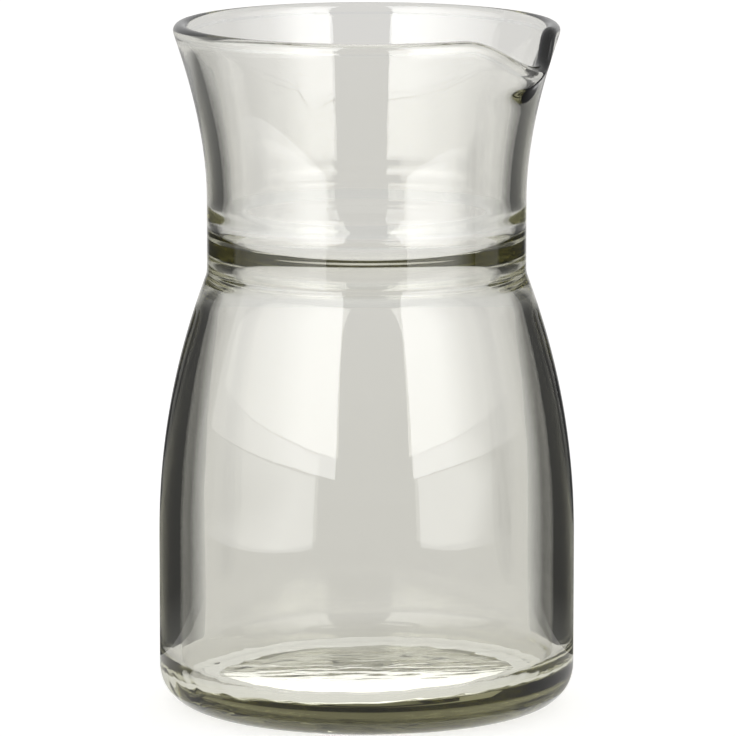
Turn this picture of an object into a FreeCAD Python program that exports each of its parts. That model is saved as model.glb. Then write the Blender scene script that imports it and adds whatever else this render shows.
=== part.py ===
"""Half-litre milk jug of thick clear glass, blown in a mould and finished by hand.

One solid: a round foot with a shallow push-up, a straight side, a shoulder drawn in to a crease
with a thick ring of glass inside it, and a short neck that flares to a fire-rounded rim with a
pulled pouring lip. The jug stands on the XY plane round the Z axis, and the lip points along +X.
"""

import FreeCAD, Part

import math
import os

import Sketcher
from FreeCAD import Vector

# ---------------------------------------------------------------------------------------------
# Driving sizes, in millimetres unless the note says otherwise
# ---------------------------------------------------------------------------------------------

SIZES = {
    # foot and side
    "body_diameter": (88.0, "outside, at the straight side"),
    "body_height": (93.2, "from the table to the crease under the neck"),
    "straight_height": (37.0, "from the table to where the shoulder begins"),
    "heel_radius": (8.4, "rounding from the foot into the side"),
    "foot_width": (4.0, "flat ring that the jug stands on"),
    "push_up": (2.5, "how far the underside is domed into the jug"),
    # inside
    "side_wall": (4.4, "glass at the straight side"),
    "shoulder_wall": (3.4, "glass at the top of the shoulder"),
    "base_thickness": (7.0, "from the table to the inner floor"),
    "floor_radius": (5.5, "inner corner between floor and side"),
    # neck
    "neck_diameter": (67.4, "outside, above the crease"),
    "neck_height": (51.8, "from the crease to the top of the rim"),
    "neck_straight": (15.4, "from the crease to where the flare begins"),
    "neck_wall": (3.4, "glass at the straight neck"),
    "crease_radius": (6.0, "outside hollow where shoulder and neck meet"),
    "ring_depth": (2.1, "how far the inner ring stands in from the neck's inner wall"),
    "ring_lift": (1.4, "nose of the inner ring above the crease"),
    "ring_nose": (5.0, "rounding of the inner ring's nose"),
    "ring_hollow": (4.5, "hollow rounding above the inner ring"),
    "ring_slope": (25.0, "long hollow rounding that runs from the ring out into the shoulder"),
    "recess_depth": (1.0, "how far the neck is hollowed out just above the ring"),
    "recess_height": (14.0, "from the crease to the top of that hollow"),
    "recess_sweep": (6.0, "rounding that leads from the hollow back to the neck's inner wall"),
    # rim and pouring lip
    "rim_diameter": (81.6, "outside"),
    "rim_thickness": (3.4, "fire-rounded edge"),
    "mouth_depth": (2.8, "upright band inside the rim, from its top to where the flare begins"),
    "flare_power": (1.75, "how late the flare opens: 1 is a straight cone"),
    "lip_drop": (7.0, "how far the rim dips at the lip"),
    "lip_reach": (0.8, "how far the lip stands out past the rim"),
    "lip_gentle": (32.0, "degrees of rim in the lip's long flank, on the -Y side"),
    "lip_steep": (16.0, "degrees of rim in the lip's short flank, on the +Y side"),
    "lip_depth": (16.0, "how far down from the rim the lip's form runs out"),
}

SPOKES = 90  # rows of surface poles round the neck
FLARE_ROWS = 8  # rows of surface poles up each side of the flared wall
JOIN_TOLERANCE = 1e-3  # the neck's splined circle is truer than this


def make_sheet(doc):
    """A sheet that holds every driving size in a cell with an alias."""
    sheet = doc.addObject("Spreadsheet::Sheet", "sizes")
    for row, (alias, (value, note)) in enumerate(SIZES.items(), start=1):
        sheet.set(f"A{row}", alias)
        sheet.set(f"B{row}", str(value))
        sheet.setAlias(f"B{row}", alias)
        sheet.set(f"C{row}", note)
    doc.recompute()
    return sheet


# ---------------------------------------------------------------------------------------------
# Sketching
# ---------------------------------------------------------------------------------------------

START, END, CENTRE = 1, 2, 3  # which point of a sketched curve
UPRIGHT_AXIS = -2  # the sketch's own vertical axis, which is the jug's


class Outline:
    """A closed outline in a body's XZ plane, of lines and arcs that follow on from each other.

    Each curve is drawn near its true place, and the constraints then hold it to the sheet.
    """

    def __init__(self, body, name, start):
        self.sketch = body.newObject("Sketcher::SketchObject", name)
        plane = next(f for f in body.Origin.OriginFeatures if f.Role == "XZ_Plane")
        self.sketch.AttachmentSupport = [(plane, "")]
        self.sketch.MapMode = "FlatFace"
        self.start = Vector(*start, 0)
        self.here = self.start
        self.tails = []  # (curve, its end) where each curve hands over to the next
        self.heads = []

    def _follow(self, curve, head, tail, to, smooth):
        index = self.sketch.addGeometry(curve, False)
        if self.tails:
            kind = "Tangent" if smooth else "Coincident"
            self.sketch.addConstraint(Sketcher.Constraint(kind, *self.tails[-1], index, head))
        self.heads.append((index, head))
        self.tails.append((index, tail))
        self.here = to
        return index

    def line(self, x, y, smooth=False):
        """A straight line to (x, y), upright or level if it runs that way."""
        to = Vector(x, y, 0)
        start = self.here
        index = self._follow(Part.LineSegment(start, to), START, END, to, smooth)
        if math.isclose(start.x, x):
            self.sketch.addConstraint(Sketcher.Constraint("Vertical", index))
        if math.isclose(start.y, y):
            self.sketch.addConstraint(Sketcher.Constraint("Horizontal", index))
        return index

    def arc(self, x, y, centre, smooth=True):
        """The shorter arc to (x, y) round a centre."""
        to = Vector(x, y, 0)
        middle = Vector(*centre, 0)
        radius = (self.here - middle).Length
        first = math.atan2(self.here.y - middle.y, self.here.x - middle.x)
        last = math.atan2(y - middle.y, x - middle.x)
        turns_left = (last - first) % math.tau < math.pi
        circle = Part.Circle(middle, Vector(0, 0, 1), radius)
        if turns_left:
            return self._follow(Part.ArcOfCircle(circle, first, last), START, END, to, smooth)
        return self._follow(Part.ArcOfCircle(circle, last, first), END, START, to, smooth)

    def close(self):
        """Ties the last curve's end to the first curve's start."""
        self.sketch.addConstraint(
            Sketcher.Constraint("Coincident", *self.tails[-1], *self.heads[0])
        )

    def hold(self, name, kind, where, value, formula):
        """A named constraint that a formula of the sheet drives."""
        index = self.sketch.addConstraint(Sketcher.Constraint(kind, *where, value))
        self.sketch.renameConstraint(index, name)
        self.sketch.setExpression(f"Constraints.{name}", formula)

    def on_axis(self, point):
        self.sketch.addConstraint(Sketcher.Constraint("PointOnObject", *point, UPRIGHT_AXIS))


def shoulder_radius(fall, rise, hollow=0.0):
    """Radius of the arc that leaves an upright side and meets a rounded hollow tangentially.

    The hollow's own circle touches an upright line that lies `fall` further in, `rise` higher up.
    """
    return (rise**2 + fall**2 - 2 * fall * hollow) / (2 * fall)


# ---------------------------------------------------------------------------------------------
# Foot, side, shoulder and straight neck, turned round the axis
# ---------------------------------------------------------------------------------------------


def turn(body, kind, name, outline, tool_label):
    """A full turn of an outline round the jug's axis: glass added, or cut away."""
    feature = body.newObject(f"PartDesign::{kind}", name)
    feature.Label = tool_label
    feature.Profile = (outline.sketch, [""])
    feature.ReferenceAxis = (outline.sketch, ["V_Axis"])
    feature.Angle = 360
    return feature


def outside(body, size):
    """The jug's outside up to the straight neck, as if it were solid glass."""
    side = size.body_diameter / 2
    neck = size.neck_diameter / 2
    foot = side - size.heel_radius
    hollow = size.crease_radius
    top = size.body_height + size.neck_straight
    radius = shoulder_radius(side - neck, size.body_height - size.straight_height, hollow)
    shoulder_centre = Vector(side - radius, size.straight_height)
    hollow_centre = Vector(neck + hollow, size.body_height)
    out = (shoulder_centre - hollow_centre).normalize()
    meeting = hollow_centre + out * hollow

    outline = Outline(body, "outside", (0, 0))
    foot_line = outline.line(foot, 0)
    heel = outline.arc(side, size.heel_radius, (foot, size.heel_radius))
    side_line = outline.line(side, size.straight_height, smooth=True)
    outline.arc(meeting.x, meeting.y, shoulder_centre[:2])
    crease = outline.arc(neck, size.body_height, hollow_centre[:2])
    neck_line = outline.line(neck, top, smooth=True)
    outline.line(0, top)
    outline.line(0, 0)
    outline.close()
    outline.sketch.addConstraint(Sketcher.Constraint("Coincident", foot_line, START, -1, START))
    outline.hold("heel", "Radius", (heel,), size.heel_radius, "sizes.heel_radius")
    outline.hold("side", "DistanceX", (side_line, START), side, "sizes.body_diameter / 2")
    outline.hold(
        "straight", "DistanceY", (side_line, END), size.straight_height, "sizes.straight_height"
    )
    outline.hold("crease", "Radius", (crease,), hollow, "sizes.crease_radius")
    outline.hold("neck", "DistanceX", (neck_line, START), neck, "sizes.neck_diameter / 2")
    outline.hold("body", "DistanceY", (neck_line, START), size.body_height, "sizes.body_height")
    outline.hold(
        "top", "DistanceY", (neck_line, END), top, "sizes.body_height + sizes.neck_straight"
    )
    return turn(body, "Revolution", "blank", outline, "blank")


def ring_places(size):
    """Centres of the four roundings inside the crease, from the shoulder's own arc upwards."""
    side = size.body_diameter / 2 - size.side_wall
    bore = size.neck_diameter / 2 - size.neck_wall
    rise = size.body_height - size.straight_height
    radius = shoulder_radius(side - size.neck_diameter / 2 + size.shoulder_wall, rise)
    shoulder = Vector(side - radius, size.straight_height)
    nose = Vector(bore - size.ring_depth + size.ring_nose, size.body_height + size.ring_lift)

    # the slope below the ring touches the shoulder's arc and the nose
    reach = size.ring_nose + size.ring_slope
    gap = (nose - shoulder).Length
    along = (gap**2 + (radius - size.ring_slope) ** 2 - reach**2) / (2 * gap)
    aside = math.sqrt((radius - size.ring_slope) ** 2 - along**2)
    towards = (nose - shoulder).normalize()
    slope = shoulder + towards * along + Vector(towards.y, -towards.x) * aside
    # the hollow above it touches the nose and the recess's upright wall
    reach = size.ring_nose + size.ring_hollow
    hollow_x = bore + size.recess_depth - size.ring_hollow
    hollow = Vector(hollow_x, nose.y + math.sqrt(reach**2 - (nose.x - hollow_x) ** 2))
    return shoulder, radius, slope, nose, hollow


def inside(body, size):
    """The hollow: flat floor, side, shoulder, and the ring of glass that stands in at the crease."""
    side = size.body_diameter / 2 - size.side_wall
    bore = size.neck_diameter / 2 - size.neck_wall
    recess = bore + size.recess_depth
    top = size.body_height + size.neck_straight
    shoulder_centre, radius, slope_centre, nose_centre, hollow_centre = ring_places(size)
    under = shoulder_centre + (slope_centre - shoulder_centre).normalize() * radius
    nose_under = nose_centre + (slope_centre - nose_centre).normalize() * size.ring_nose
    nose_over = nose_centre + (hollow_centre - nose_centre).normalize() * size.ring_nose

    # the recess leads back to the bore through two equal roundings
    sweep = size.recess_sweep
    recess_top = size.body_height + size.recess_height
    half_rise = math.sqrt(sweep**2 - (sweep - size.recess_depth / 2) ** 2)
    bend = Vector(bore + size.recess_depth / 2, recess_top - half_rise)
    recess_foot = recess_top - 2 * half_rise

    outline = Outline(body, "inside", (0, top))
    axis_line = outline.line(0, size.base_thickness)
    floor_line = outline.line(side - size.floor_radius, size.base_thickness)
    floor_level = size.base_thickness + size.floor_radius
    corner = outline.arc(side, floor_level, (side - size.floor_radius, floor_level))
    side_line = outline.line(side, size.straight_height, smooth=True)
    shoulder = outline.arc(under.x, under.y, shoulder_centre[:2])
    slope = outline.arc(nose_under.x, nose_under.y, slope_centre[:2])
    ring = outline.arc(nose_over.x, nose_over.y, nose_centre[:2])
    hollow = outline.arc(recess, hollow_centre.y, hollow_centre[:2])
    recess_line = outline.line(recess, recess_foot, smooth=True)
    sweep_out = outline.arc(bend.x, bend.y, (recess - sweep, recess_foot))
    sweep_in = outline.arc(bore, recess_top, (bore + sweep, recess_top))
    bore_line = outline.line(bore, top, smooth=True)
    outline.line(0, top)
    outline.close()
    outline.on_axis((axis_line, START))
    bore_formula = "sizes.neck_diameter / 2 - sizes.neck_wall"
    side_formula = "sizes.body_diameter / 2 - sizes.side_wall"
    fall = f"({side_formula} - sizes.neck_diameter / 2 + sizes.shoulder_wall)"
    climb = "(sizes.body_height - sizes.straight_height)"
    for name, kind, where, value, formula in [
        ("floor", "DistanceY", (floor_line, END), size.base_thickness, "sizes.base_thickness"),
        ("corner", "Radius", (corner,), size.floor_radius, "sizes.floor_radius"),
        ("side", "DistanceX", (side_line, START), side, side_formula),
        ("straight", "DistanceY", (side_line, END), size.straight_height, "sizes.straight_height"),
        ("shoulder", "Radius", (shoulder,), radius, f"({climb} ^ 2 + {fall} ^ 2) / (2 * {fall})"),
        ("slope", "Radius", (slope,), size.ring_slope, "sizes.ring_slope"),
        ("nose", "Radius", (ring,), size.ring_nose, "sizes.ring_nose"),
        (
            "nose_x",
            "DistanceX",
            (ring, CENTRE),
            nose_centre.x,
            f"{bore_formula} - sizes.ring_depth + sizes.ring_nose",
        ),
        (
            "nose_z",
            "DistanceY",
            (ring, CENTRE),
            nose_centre.y,
            "sizes.body_height + sizes.ring_lift",
        ),
        ("hollow", "Radius", (hollow,), size.ring_hollow, "sizes.ring_hollow"),
        (
            "recess",
            "DistanceX",
            (recess_line, END),
            recess,
            f"{bore_formula} + sizes.recess_depth",
        ),
        ("sweep_out", "Radius", (sweep_out,), sweep, "sizes.recess_sweep"),
        ("sweep_in", "Radius", (sweep_in,), sweep, "sizes.recess_sweep"),
        (
            "recess_top",
            "DistanceY",
            (bore_line, START),
            recess_top,
            "sizes.body_height + sizes.recess_height",
        ),
        ("bore", "DistanceX", (bore_line, END), bore, bore_formula),
        ("top", "DistanceY", (bore_line, END), top, "sizes.body_height + sizes.neck_straight"),
    ]:
        outline.hold(name, kind, where, value, formula)
    return turn(body, "Groove", "hollow", outline, "hollow")


def underside(body, size):
    """The shallow dome under the foot, inside the flat ring that the jug stands on."""
    edge = size.body_diameter / 2 - size.heel_radius - size.foot_width
    radius = (edge**2 + size.push_up**2) / (2 * size.push_up)
    outline = Outline(body, "underside", (0, 0))
    base_line = outline.line(edge, 0)
    dome = outline.arc(0, size.push_up, (0, size.push_up - radius), smooth=False)
    axis_line = outline.line(0, 0)
    outline.close()
    outline.sketch.addConstraint(Sketcher.Constraint("Coincident", base_line, START, -1, START))
    outline.on_axis((dome, CENTRE))
    outline.hold(
        "edge",
        "DistanceX",
        (base_line, END),
        edge,
        "sizes.body_diameter / 2 - sizes.heel_radius - sizes.foot_width",
    )
    outline.hold("rise", "DistanceY", (axis_line, START), size.push_up, "sizes.push_up")
    return turn(body, "Groove", "push_up", outline, "push_up")


# ---------------------------------------------------------------------------------------------
# Flared neck, rim and pouring lip
# ---------------------------------------------------------------------------------------------


def smooth_step(share):
    """0 to 1 with a level start and end."""
    share = min(max(share, 0.0), 1.0)
    return share * share * (3 - 2 * share)


def neck_section(size):
    """Surface poles (radius, height) up the outside, over the rounded rim and down the inside."""
    neck = size.neck_diameter / 2
    foot = size.body_height + size.neck_straight
    half_rim = size.rim_thickness / 2
    rim = size.rim_diameter / 2 - half_rim
    rim_height = size.body_height + size.neck_height - half_rim
    climb = rim_height - foot
    mouth = size.body_height + size.neck_height - size.mouth_depth
    outer = []
    inner = []
    for row in range(FLARE_ROWS + 1):
        share = row / FLARE_ROWS
        opening = share**size.flare_power
        height = foot + climb * share
        outer.append((neck + (rim + half_rim - neck) * opening, height))
        bore = neck - size.neck_wall
        inner.append((bore + (rim - half_rim - bore) * opening, foot + (mouth - foot) * share))
    # three poles that round the edge off to a half circle
    crown = [
        (rim + 0.9 * half_rim, rim_height + 0.75 * half_rim),
        (rim, rim_height + 1.125 * half_rim),
        (rim - 0.9 * half_rim, rim_height + 0.75 * half_rim),
    ]
    inner.append((rim - half_rim, rim_height))
    return outer + crown + inner[::-1]


def lip_share(size, turn_angle, height):
    """How fully a place on the neck follows the lip: 1 in the middle of the spout's edge."""
    flank = math.radians(size.lip_gentle if turn_angle < 0 else size.lip_steep)
    if abs(turn_angle) >= flank:
        return 0.0
    across = math.cos(math.pi / 2 * turn_angle / flank) ** 2
    rim_top = size.body_height + size.neck_height
    up = smooth_step((height - rim_top + size.lip_depth) / size.lip_depth)
    return across * up


def flared_neck(size):
    """The splined neck as a solid, from the level cut at the top of the straight neck upwards."""
    section = neck_section(size)
    # a closed cubic spline runs a little inside the circle that its poles lie on
    widen = 3 / (2 + math.cos(math.tau / SPOKES))
    poles = []
    for spoke in range(SPOKES):
        turn_angle = math.tau * spoke / SPOKES
        from_lip = turn_angle - math.tau if turn_angle > math.pi else turn_angle
        column = []
        for radius, height in section:
            share = lip_share(size, from_lip, height)
            out = (radius + size.lip_reach * share) * widen
            column.append(
                Vector(
                    out * math.cos(turn_angle),
                    out * math.sin(turn_angle),
                    height - size.lip_drop * share,
                )
            )
        poles.append(column)
    spans = len(section) - 3
    skin = Part.BSplineSurface()
    skin.buildFromPolesMultsKnots(
        poles,
        [1] * (SPOKES + 1),
        [4] + [1] * (spans - 1) + [4],
        [float(k) for k in range(SPOKES + 1)],
        [float(k) for k in range(spans + 1)],
        True,
        False,
        3,
        3,
    )
    wall = skin.toShape()
    rings = [Part.Wire(e) for e in wall.Edges if e.isClosed() and e.BoundBox.ZLength < JOIN_TOLERANCE]
    cut = Part.makeFace(rings, "Part::FaceMakerBullseye")
    shell = Part.makeShell([wall, cut])
    shell.sewShape()
    return Part.makeSolid(shell)


# ---------------------------------------------------------------------------------------------
# The jug
# ---------------------------------------------------------------------------------------------


class Sizes:
    """The sheet's values by name, for the parts that are worked out in code."""

    def __init__(self, sheet):
        for alias in SIZES:
            setattr(self, alias, float(sheet.get(alias)))


def make_jug(doc):
    """The turned vessel and the splined neck, joined into one solid."""
    size = Sizes(make_sheet(doc))
    jug = doc.addObject("PartDesign::Body", "jug")
    jug.Label = "jug"
    outside(jug, size)
    inside(jug, size)
    underside(jug, size)

    form = doc.addObject("Part::Feature", "neck_form")
    form.Shape = flared_neck(size)
    neck = doc.addObject("PartDesign::Body", "neck")
    neck.Label = "flared neck"
    neck.BaseFeature = form
    doc.recompute()

    joined = jug.newObject("PartDesign::Boolean", "joined")
    joined.Type = "Fuse"
    joined.FuzzyTolerance = JOIN_TOLERANCE
    joined.Group = [neck]
    jug.Tip = joined
    doc.recompute()
    return jug


def check(doc, jug):
    """Stops on any object that failed, and on a shape that isn't one sound solid."""
    for item in doc.Objects:
        failed = {"Invalid", "Error"} & set(item.State)
        if failed:
            raise RuntimeError(f"{item.Label} is {failed}")
    shape = jug.Shape
    if shape.isNull() or not shape.isValid():
        raise RuntimeError("the jug's shape isn't sound")
    if len(shape.Solids) != 1:
        raise RuntimeError(f"the jug is {len(shape.Solids)} solids")


doc = FreeCAD.newDocument("milk_jug")
jug = make_jug(doc)
check(doc, jug)
os.makedirs("parts", exist_ok=True)
jug.Shape.exportStep(f"parts/{jug.Label}.step")
print(f"{jug.Label}: {jug.Shape.Volume:.0f} mm3 of glass, {len(jug.Shape.Faces)} faces")
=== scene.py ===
import math

import bpy
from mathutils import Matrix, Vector, noise


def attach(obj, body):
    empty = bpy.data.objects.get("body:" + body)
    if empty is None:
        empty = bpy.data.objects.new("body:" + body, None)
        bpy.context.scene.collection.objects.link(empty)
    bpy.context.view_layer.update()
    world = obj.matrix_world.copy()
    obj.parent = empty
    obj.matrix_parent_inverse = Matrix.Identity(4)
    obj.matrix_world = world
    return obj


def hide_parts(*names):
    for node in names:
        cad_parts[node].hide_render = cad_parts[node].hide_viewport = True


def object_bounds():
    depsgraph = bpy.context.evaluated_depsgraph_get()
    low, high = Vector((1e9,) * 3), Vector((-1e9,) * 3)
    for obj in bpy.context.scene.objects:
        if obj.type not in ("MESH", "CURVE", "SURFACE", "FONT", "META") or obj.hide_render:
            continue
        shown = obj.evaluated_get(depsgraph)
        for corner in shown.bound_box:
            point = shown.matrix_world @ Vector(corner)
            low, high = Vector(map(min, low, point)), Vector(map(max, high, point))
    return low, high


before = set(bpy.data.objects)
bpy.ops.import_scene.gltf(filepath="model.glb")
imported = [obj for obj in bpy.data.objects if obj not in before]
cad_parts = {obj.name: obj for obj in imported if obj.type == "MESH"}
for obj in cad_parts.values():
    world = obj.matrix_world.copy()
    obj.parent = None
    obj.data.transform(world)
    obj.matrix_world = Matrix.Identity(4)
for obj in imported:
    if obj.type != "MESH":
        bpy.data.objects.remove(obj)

cad_low, cad_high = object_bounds()

# ---------------------------------------------------------------------------------------------
# Camera: a long lens a little above the rim, which leaves the pouring lip towards its right.
# ---------------------------------------------------------------------------------------------

facing = math.radians(27.5)  # the camera stands this far round from the jug's front
stand_off = 1.585
eye_height = 0.325
looks_down = math.radians(9.085)
towards_camera = Vector((math.sin(facing), -math.cos(facing), 0))
aside = Vector((math.cos(facing), math.sin(facing), 0))  # to the right as the camera sees it

bpy.ops.object.camera_add(
    location=towards_camera * stand_off + Vector((0, 0, eye_height)),
    rotation=(math.pi / 2 - looks_down, 0, facing),
)
camera = bpy.context.object
camera.data.lens = 371.5
camera.data.shift_x = 0.0018  # the jug stands a little left of the middle
scene = bpy.context.scene
scene.camera = camera
scene.view_settings.view_transform = "Standard"
scene.cycles.max_bounces = 32  # light runs round inside thick glass for a long way
scene.cycles.transmission_bounces = 32
scene.cycles.glossy_bounces = 24

# ---------------------------------------------------------------------------------------------
# The jug: one piece of thick clear glass with a faint olive cast. It was blown in a mould, which
# left a ring of glass inside the crease and a chilled floor, and its rim and lip were worked by
# hand in the fire.
# ---------------------------------------------------------------------------------------------

side_radius = cad_high[0]
rim_top = cad_high[2]
straight_height = 0.0370  # where the shoulder begins
heel_radius = 0.0084
foot_width = 0.0040  # the flat ring that the jug stands on
push_up = 0.0025  # rise of the dome inside that ring
crease_height = 0.0932
crease_rounding = 0.0060
neck_radius = 0.0337
flare_foot = 0.1086  # where the straight neck starts to open
flare_power = 1.75  # how late it opens: 1 is a straight cone
rim_radius = 0.0408
rim_rounding = 0.0017
mouth_depth = 0.0028  # upright band inside the rim

side_wall = 0.0044
shoulder_wall = 0.0034
floor_height = 0.0070
floor_rounding = 0.0055
neck_wall = 0.0034
recess_depth = 0.0010  # the neck is hollowed out a little above the ring
recess_top = 0.1072
recess_sweep = 0.0060
ring_hollow = 0.0045  # rounding between the recess and the ring
ring_depth = 0.0021  # how far the ring stands into the bore
ring_nose = 0.0050
ring_height = 0.0946
ring_slope = 0.0250  # long rounding from the ring out into the shoulder


class Profile:
    """The half section of the glass, as (radius, height) points in the order they are drawn."""

    def __init__(self, start):
        self.points = [start]

    def line(self, to, steps):
        start = Vector(self.points[-1])
        for step in range(1, steps + 1):
            self.points.append(tuple(start.lerp(Vector(to), step / steps)))

    def arc(self, centre, radius, first, last, steps):
        """Points after the first on an arc, its angles measured from straight outwards."""
        for step in range(1, steps + 1):
            angle = first + (last - first) * step / steps
            self.points.append(
                (centre[0] + radius * math.cos(angle), centre[1] + radius * math.sin(angle))
            )

    def flare(self, foot, mouth, steps, downwards=False):
        """The neck's opening curve between its straight part and the rim."""
        shares = [step / steps for step in range(1, steps + 1)]
        if downwards:
            shares = [1 - share for share in shares]
        for share in shares:
            radius = foot[0] + (mouth[0] - foot[0]) * share**flare_power
            self.points.append((radius, foot[1] + (mouth[1] - foot[1]) * share))


def bearing(start, end):
    """Angle of the way from one point of the section to another."""
    return math.atan2(end[1] - start[1], end[0] - start[0])


# outside: a low dome under the foot, heel, side, shoulder, crease, neck and flare
foot_radius = side_radius - heel_radius
dome_edge = foot_radius - foot_width
dome_radius = (dome_edge**2 + push_up**2) / (2 * push_up)
section = Profile((0.0, push_up))
section.arc(
    (0.0, push_up - dome_radius),
    dome_radius,
    math.pi / 2,
    math.pi / 2 - math.asin(dome_edge / dome_radius),
    steps=8,
)
section.line((foot_radius, 0.0), steps=3)
section.arc((foot_radius, heel_radius), heel_radius, -math.pi / 2, 0, steps=12)
section.line((side_radius, straight_height), steps=7)
fall = side_radius - neck_radius
rise = crease_height - straight_height
bulge = (rise**2 + fall**2 - 2 * fall * crease_rounding) / (2 * fall)
shoulder_end = math.asin(rise / (bulge + crease_rounding))
section.arc((side_radius - bulge, straight_height), bulge, 0, shoulder_end, steps=13)
section.arc(
    (neck_radius + crease_rounding, crease_height),
    crease_rounding,
    math.pi + shoulder_end,
    math.pi,
    steps=5,
)
section.line((neck_radius, flare_foot), steps=4)
rim_seat = rim_top - rim_rounding
section.flare((neck_radius, flare_foot), (rim_radius, rim_seat), steps=12)

# over the fire-rounded rim, and down the flare and the straight bore
section.arc((rim_radius - rim_rounding, rim_seat), rim_rounding, 0, math.pi, steps=8)
throat = rim_radius - 2 * rim_rounding
bore = neck_radius - neck_wall
section.line((throat, rim_top - mouth_depth), steps=2)
section.flare((bore, flare_foot), (throat, rim_top - mouth_depth), steps=12, downwards=True)
section.line((bore, recess_top), steps=1)

# a shallow recess above the ring, in two equal sweeps
recess = bore + recess_depth
sweep_turn = math.acos(1 - recess_depth / 2 / recess_sweep)
recess_foot = recess_top - 2 * recess_sweep * math.sin(sweep_turn)
section.arc((bore + recess_sweep, recess_top), recess_sweep, math.pi, math.pi + sweep_turn, steps=3)
section.arc((recess - recess_sweep, recess_foot), recess_sweep, sweep_turn, 0, steps=3)

# the ring: a hollow, a rounded nose, and a long slope that runs out into the shoulder
nose = Vector((bore - ring_depth + ring_nose, ring_height))
hollow_x = recess - ring_hollow
hollow_lean = math.acos((nose.x - hollow_x) / (ring_nose + ring_hollow))
hollow = Vector((hollow_x, nose.y + (ring_nose + ring_hollow) * math.sin(hollow_lean)))
section.line(hollow + Vector((ring_hollow, 0)), steps=1)
section.arc(hollow, ring_hollow, 0, -hollow_lean, steps=6)
inner_side = side_radius - side_wall
inner_fall = inner_side - neck_radius + shoulder_wall
inner_bulge = (rise**2 + inner_fall**2) / (2 * inner_fall)
shoulder = Vector((inner_side - inner_bulge, straight_height))
across = (nose - shoulder).normalized()
gap = (nose - shoulder).length
reach = inner_bulge - ring_slope
along = (gap**2 + reach**2 - (ring_nose + ring_slope) ** 2) / (2 * gap)
off = math.sqrt(reach**2 - along**2)
slope = shoulder + across * along + Vector((across.y, -across.x)) * off
nose_end = bearing(slope, nose)
section.arc(nose, ring_nose, math.pi - hollow_lean, math.pi + nose_end, steps=12)
slope_end = bearing(shoulder, slope)
section.arc(slope, ring_slope, nose_end, slope_end, steps=6)
section.arc(shoulder, inner_bulge, slope_end, 0, steps=11)

# inner side, rounded corner and floor
section.line((inner_side, floor_height + floor_rounding), steps=7)
corner = (inner_side - floor_rounding, floor_height + floor_rounding)
section.arc(corner, floor_rounding, 0, -math.pi / 2, steps=9)
section.line((0.0, floor_height), steps=20)

# one vertex is drawn along the section, and the line is spun round the jug's axis
spin_steps = 128
bpy.ops.object.select_all(action="DESELECT")
bpy.ops.mesh.primitive_plane_add(size=0.001)  # merged to one vertex, whatever its size
jug = bpy.context.object
jug.name = "jug_glass"
bpy.ops.object.mode_set(mode="EDIT")
bpy.ops.mesh.select_all(action="SELECT")
bpy.ops.mesh.merge(type="CENTER")
bpy.ops.transform.translate(value=(section.points[0][0], 0, section.points[0][1]))
for start, end in zip(section.points, section.points[1:]):
    step = (end[0] - start[0], 0, end[1] - start[1])
    bpy.ops.mesh.extrude_region_move(TRANSFORM_OT_translate={"value": step})
bpy.ops.mesh.select_all(action="SELECT")
bpy.ops.mesh.spin(steps=spin_steps, angle=math.tau, center=(0, 0, 0), axis=(0, 0, 1))
bpy.ops.mesh.select_all(action="SELECT")
bpy.ops.mesh.remove_doubles(threshold=1e-6)  # the seam, and the two points on the axis
bpy.ops.mesh.normals_make_consistent(inside=False)
bpy.ops.object.mode_set(mode="OBJECT")
rounding = jug.modifiers.new("rounding", "SUBSURF")
rounding.levels = 1
rounding.render_levels = 1
bpy.ops.object.modifier_apply(modifier=rounding.name)

lip_drop = 0.0070
lip_reach = 0.0008
lip_depth = 0.0160  # how far down the neck its form runs out
lip_gentle = math.radians(32)  # the lip's long flank
lip_steep = math.radians(16)  # and its short one


def smooth_step(share):
    """0 to 1 with a level start and end."""
    share = min(max(share, 0.0), 1.0)
    return share * share * (3 - 2 * share)


def pull_lip(place):
    """The rim pulled down and a little outwards, along +X."""
    turned = math.atan2(place.y, place.x)
    flank = lip_gentle if turned < 0 else lip_steep
    if abs(turned) >= flank:
        return place
    share = math.cos(math.pi / 2 * turned / flank) ** 2
    share *= smooth_step((place.z - rim_top + lip_depth) / lip_depth)
    out = Vector((place.x, place.y, 0)).normalized()
    return place + out * lip_reach * share - Vector((0, 0, lip_drop * share))


floor_lean = math.tan(math.radians(1.6))  # the base is thicker on the lip's side
floor_reach = 0.0120  # the lean and the ripples fade out this far above the floor
ripple_height = 0.00020
ripple_long = 0.0090
ripple_short = 0.0028
slack = 0.0001  # more than the mesh strays from its section


def ripple(lateral, depth):
    """Chill marks: waves that run across, and smaller ones of half the size on top of them."""
    long, short = lateral / ripple_long, depth / ripple_short
    coarse = noise.noise(Vector((long, short, 1.7)))
    return coarse + 0.5 * noise.noise(Vector((long * 2, short * 2, 4.1)))


def settle_floor(place):
    """The inner floor, which leans a little and is rippled where the hot glass was chilled."""
    above = place.z - floor_height
    under_the_glass = place.z <= (push_up + floor_height) / 2
    outside = math.hypot(place.x, place.y) >= inner_side + slack
    if under_the_glass or outside or above > floor_reach:
        return place
    lateral = place.dot(aside)
    rise = lateral * floor_lean + ripple(lateral, place.dot(towards_camera)) * ripple_height
    return place + Vector((0, 0, smooth_step(1 - above / floor_reach) * rise))


wave_height = 0.00005
wave_length = 0.0220
wave_foot = 0.0100  # below this height the waves die away, so the jug stands flat
inner_waves = Vector((5, 5, 0))  # where the inside's waves are read, away from the outside's


def hand_wave(place, normal):
    """The faint unevenness of blown glass, not the same inside as outside."""
    out = Vector((place.x, place.y, 0)).normalized()
    where = place / wave_length
    if normal.dot(out) <= 0:
        where += inner_waves
    swell = 0.5 + 0.5 * noise.noise(where)
    return place - out * wave_height * smooth_step(place.z / wave_foot) * swell


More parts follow.
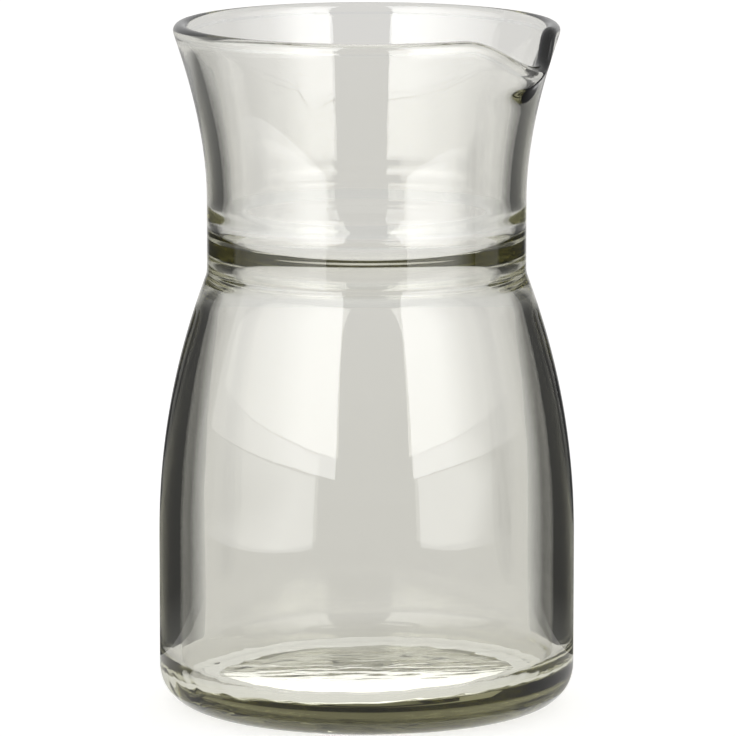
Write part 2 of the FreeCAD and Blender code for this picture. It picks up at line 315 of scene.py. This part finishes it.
normals = [vertex.normal.copy() for vertex in jug.data.vertices]
places = [vertex.co.copy() for vertex in jug.data.vertices]
for vertex, place, normal in zip(jug.data.vertices, places, normals):
    vertex.co = settle_floor(pull_lip(hand_wave(place, normal)))
bpy.ops.object.shade_smooth()


class Value:
    """A shader socket that Python's own operators add Math nodes to."""

    def __init__(self, graph, socket):
        self.graph = graph
        self.socket = socket

    def _math(self, operation, first, second):
        return self.graph.node("ShaderNodeMath", {"operation": operation}, {0: first, 1: second})

    def __add__(self, other):
        return self._math("ADD", self, other)

    def __radd__(self, other):
        return self._math("ADD", other, self)

    def __mul__(self, other):
        return self._math("MULTIPLY", self, other)

    def __rmul__(self, other):
        return self._math("MULTIPLY", other, self)

    def __rsub__(self, other):
        return self._math("SUBTRACT", other, self)


class Graph:
    """The nodes of one material or world."""

    def __init__(self, owner):
        owner.use_nodes = True
        self.tree = owner.node_tree
        self.nodes = self.tree.nodes

    def node(self, kind, settings, inputs, output=0):
        made = self.nodes.new(kind)
        for name, value in settings.items():
            setattr(made, name, value)
        self.feed(made, inputs)
        return Value(self, made.outputs[output])

    def feed(self, node, inputs):
        for name, value in inputs.items():
            if isinstance(value, Value):
                self.tree.links.new(value.socket, node.inputs[name])
            else:
                node.inputs[name].default_value = value


# the surface is fire-polished, with a slow unevenness and a fine one; the cast is in the depth
slow_marks = 90.0
fine_marks = 700.0
fine_share = 0.06
glass = bpy.data.materials.new("clear_glass")
graph = Graph(glass)
place = graph.node("ShaderNodeTexCoord", {}, {}, "Object")
ream = graph.node("ShaderNodeTexNoise", {}, {"Vector": place, "Scale": slow_marks, "Detail": 1.0})
grain = graph.node("ShaderNodeTexNoise", {}, {"Vector": place, "Scale": fine_marks, "Detail": 2.0})
uneven = graph.node(
    "ShaderNodeBump",
    {},
    {"Strength": 0.08, "Distance": 0.0002, "Height": ream + fine_share * grain},
)
graph.feed(
    graph.nodes["Principled BSDF"],
    {
        "Base Color": (1.0, 1.0, 1.0, 1.0),
        "Roughness": 0.004 * grain,
        "IOR": 1.52,
        "Transmission Weight": 1.0,
        "Normal": uneven,
    },
)
olive = (0.660, 0.652, 0.515, 1.0)
cast = graph.node("ShaderNodeVolumeAbsorption", {}, {"Color": olive, "Density": 60.0}, "Volume")
graph.feed(graph.nodes["Material Output"], {"Volume": cast})
jug.data.materials.append(glass)
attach(jug, "root")
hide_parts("jug")

# ---------------------------------------------------------------------------------------------
# Floor and light: a wide white sheet under a plain white sky. Rays that meet the sheet straight
# or through the glass see it a little brighter than it is lit, so it ends in plain white.
# ---------------------------------------------------------------------------------------------

bpy.ops.object.select_all(action="DESELECT")
bpy.ops.mesh.primitive_plane_add(size=12)
floor = bpy.context.object
floor.name = "floor"
sheet = bpy.data.materials.new("white_sheet")
graph = Graph(sheet)
path = graph.nodes.new("ShaderNodeLightPath")
direct = Value(graph, path.outputs["Is Camera Ray"])
mirrored = Value(graph, path.outputs["Is Glossy Ray"])
through = Value(graph, path.outputs["Is Transmission Ray"])
graph.feed(
    graph.nodes["Principled BSDF"],
    {
        "Base Color": (0.70, 0.69, 0.675, 1.0),
        "Roughness": 0.9,
        "Specular IOR Level": 0.0,
        "Emission Color": (1.0, 1.0, 1.0, 1.0),
        "Emission Strength": 0.60 * direct + 0.12 * (mirrored + through),
    },
)
floor.data.materials.append(sheet)

sky_strength = 0.7
sky = bpy.data.worlds.new("studio")
scene.world = sky
graph = Graph(sky)
path = graph.nodes.new("ShaderNodeLightPath")
direct = Value(graph, path.outputs["Is Camera Ray"])
graph.feed(
    graph.nodes["Background"],
    {"Color": (1.0, 1.0, 1.0, 1.0), "Strength": sky_strength + (1 - sky_strength) * direct},
)

# ---------------------------------------------------------------------------------------------
# Studio cards, seen only in the glass: dark ones behind the jug on each side, which draw its
# edges, bright ones in front on each side, and glowing discs under it, which paint light into the
# sheet seen through the base where the jug's own shadow falls. None of them lights or shades the
# sheet.
# ---------------------------------------------------------------------------------------------


def spot(round_from_back, away, height):
    """A place in the room: its bearing round the jug from straight behind it, and how far off."""
    turned = facing + math.pi / 2 + math.radians(round_from_back)
    return Vector((away * math.cos(turned), away * math.sin(turned), height))


def card(name, corners):
    """A card whose corners are the two ends of its foot and the two ends of its top."""
    bpy.ops.object.select_all(action="DESELECT")
    bpy.ops.mesh.primitive_plane_add(size=1)
    made = bpy.context.object
    made.name = name
    for vertex, corner in zip(made.data.vertices, corners):
        vertex.co = corner
    return made


def tones(graph, edge, stops):
    """A tone that goes through (share, tone) pairs along a card's foot, X, or up its side, Y."""
    spread = graph.node("ShaderNodeTexCoord", {}, {}, "UV")
    share = graph.node("ShaderNodeSeparateXYZ", {}, {"Vector": spread}, edge)
    ramp = graph.node("ShaderNodeValToRGB", {}, {"Fac": share}, "Color")
    elements = ramp.socket.node.color_ramp.elements
    while len(elements) < len(stops):
        elements.new(0.5)
    for element, (position, tone) in zip(elements, stops):
        element.position = position
        element.color = (tone, tone, tone, 1.0)
    return ramp


def shine(made, graph, tone, strength):
    """Makes a card give off its own light, in the glass alone."""
    graph.feed(
        graph.nodes["Principled BSDF"],
        {
            "Base Color": (0.0, 0.0, 0.0, 1.0),
            "Specular IOR Level": 0.0,
            "Emission Color": tone,
            "Emission Strength": strength,
        },
    )
    made.visible_camera = False
    made.visible_diffuse = False
    made.visible_shadow = False


def painted(made):
    """A material of the card's own, and its nodes."""
    paint = bpy.data.materials.new(made.name)
    made.data.materials.append(paint)
    return Graph(paint)


# the dark cards fade out towards their edges, to the tone of the room
room_tone = 0.60
darkest = 0.05
dark_top = Vector((0, 0, 0.124))
for name, side in (("dark_right", 1), ("dark_left", -1)):
    near = aside * 0.045 * side - towards_camera * 0.050
    far = aside * 0.165 * side - towards_camera * 0.026
    made = card(name, (near, far, near + dark_top, far + dark_top))
    graph = painted(made)
    outwards = tones(graph, "X", ((0.0, 0.0), (0.08, 1.0), (0.85, 1.0), (1.0, 0.0)))
    upwards = tones(graph, "Y", ((0.0, 0.9), (0.1, 1.0), (0.7, 0.98), (0.92, 0.75), (1.0, 0.0)))
    shine(made, graph, room_tone - (room_tone - darkest) * (outwards * upwards), 1.0)

# a bright card stands in front on each side, and a dimmer one lies between it and the jug; each
# goes round the jug between two bearings, its tones from the first to the last
cards_away = 0.80
cards_foot = 0.10
cards_top = 1.50
for name, first, last, stops in (
    ("bright_left", -155, -80, ((0.0, 1.0), (0.32, 0.95), (0.6, 0.4), (1.0, 0.15))),
    ("bright_right", 80, 163, ((0.0, 0.3), (0.15, 0.4), (0.5, 0.75), (0.7, 1.0), (1.0, 1.0))),
):
    foot = [spot(end, cards_away, cards_foot) for end in (first, last)]
    top = [spot(end, cards_away, cards_top) for end in (first, last)]
    made = card(name, foot + top)
    graph = painted(made)
    shine(made, graph, tones(graph, "X", stops), 5.3)

table_near = 0.33
table_height = 0.002
for name, first, last, stops in (
    ("table_left", -152, -98, ((0.0, 1.0), (0.42, 0.95), (0.7, 0.4), (1.0, 0.0))),
    ("table_right", 80, 152, ((0.0, 0.2), (0.3, 0.6), (0.7, 1.0), (1.0, 0.9))),
):
    near = [spot(end, table_near, table_height) for end in (first, last)]
    far = [spot(end, cards_away, cards_foot) for end in (first, last)]
    made = card(name, near + far)
    graph = painted(made)
    shine(made, graph, tones(graph, "X", stops), 3.0)

# glowing discs just above the sheet, one under the push-up and one under the whole foot: painted
# light over the jug's own shadow, seen only through the glass
for name, radius, height, strength in (
    ("painted_light_foot", 0.0305, 0.0001, 1.9),
    ("painted_light_heel", 0.0430, 0.00005, 0.95),
):
    bpy.ops.object.select_all(action="DESELECT")
    bpy.ops.mesh.primitive_circle_add(
        vertices=64, radius=radius, fill_type="NGON", location=(0, 0, height)
    )
    made = bpy.context.object
    made.name = name
    shine(made, painted(made), (1.0, 1.0, 1.0, 1.0), strength)
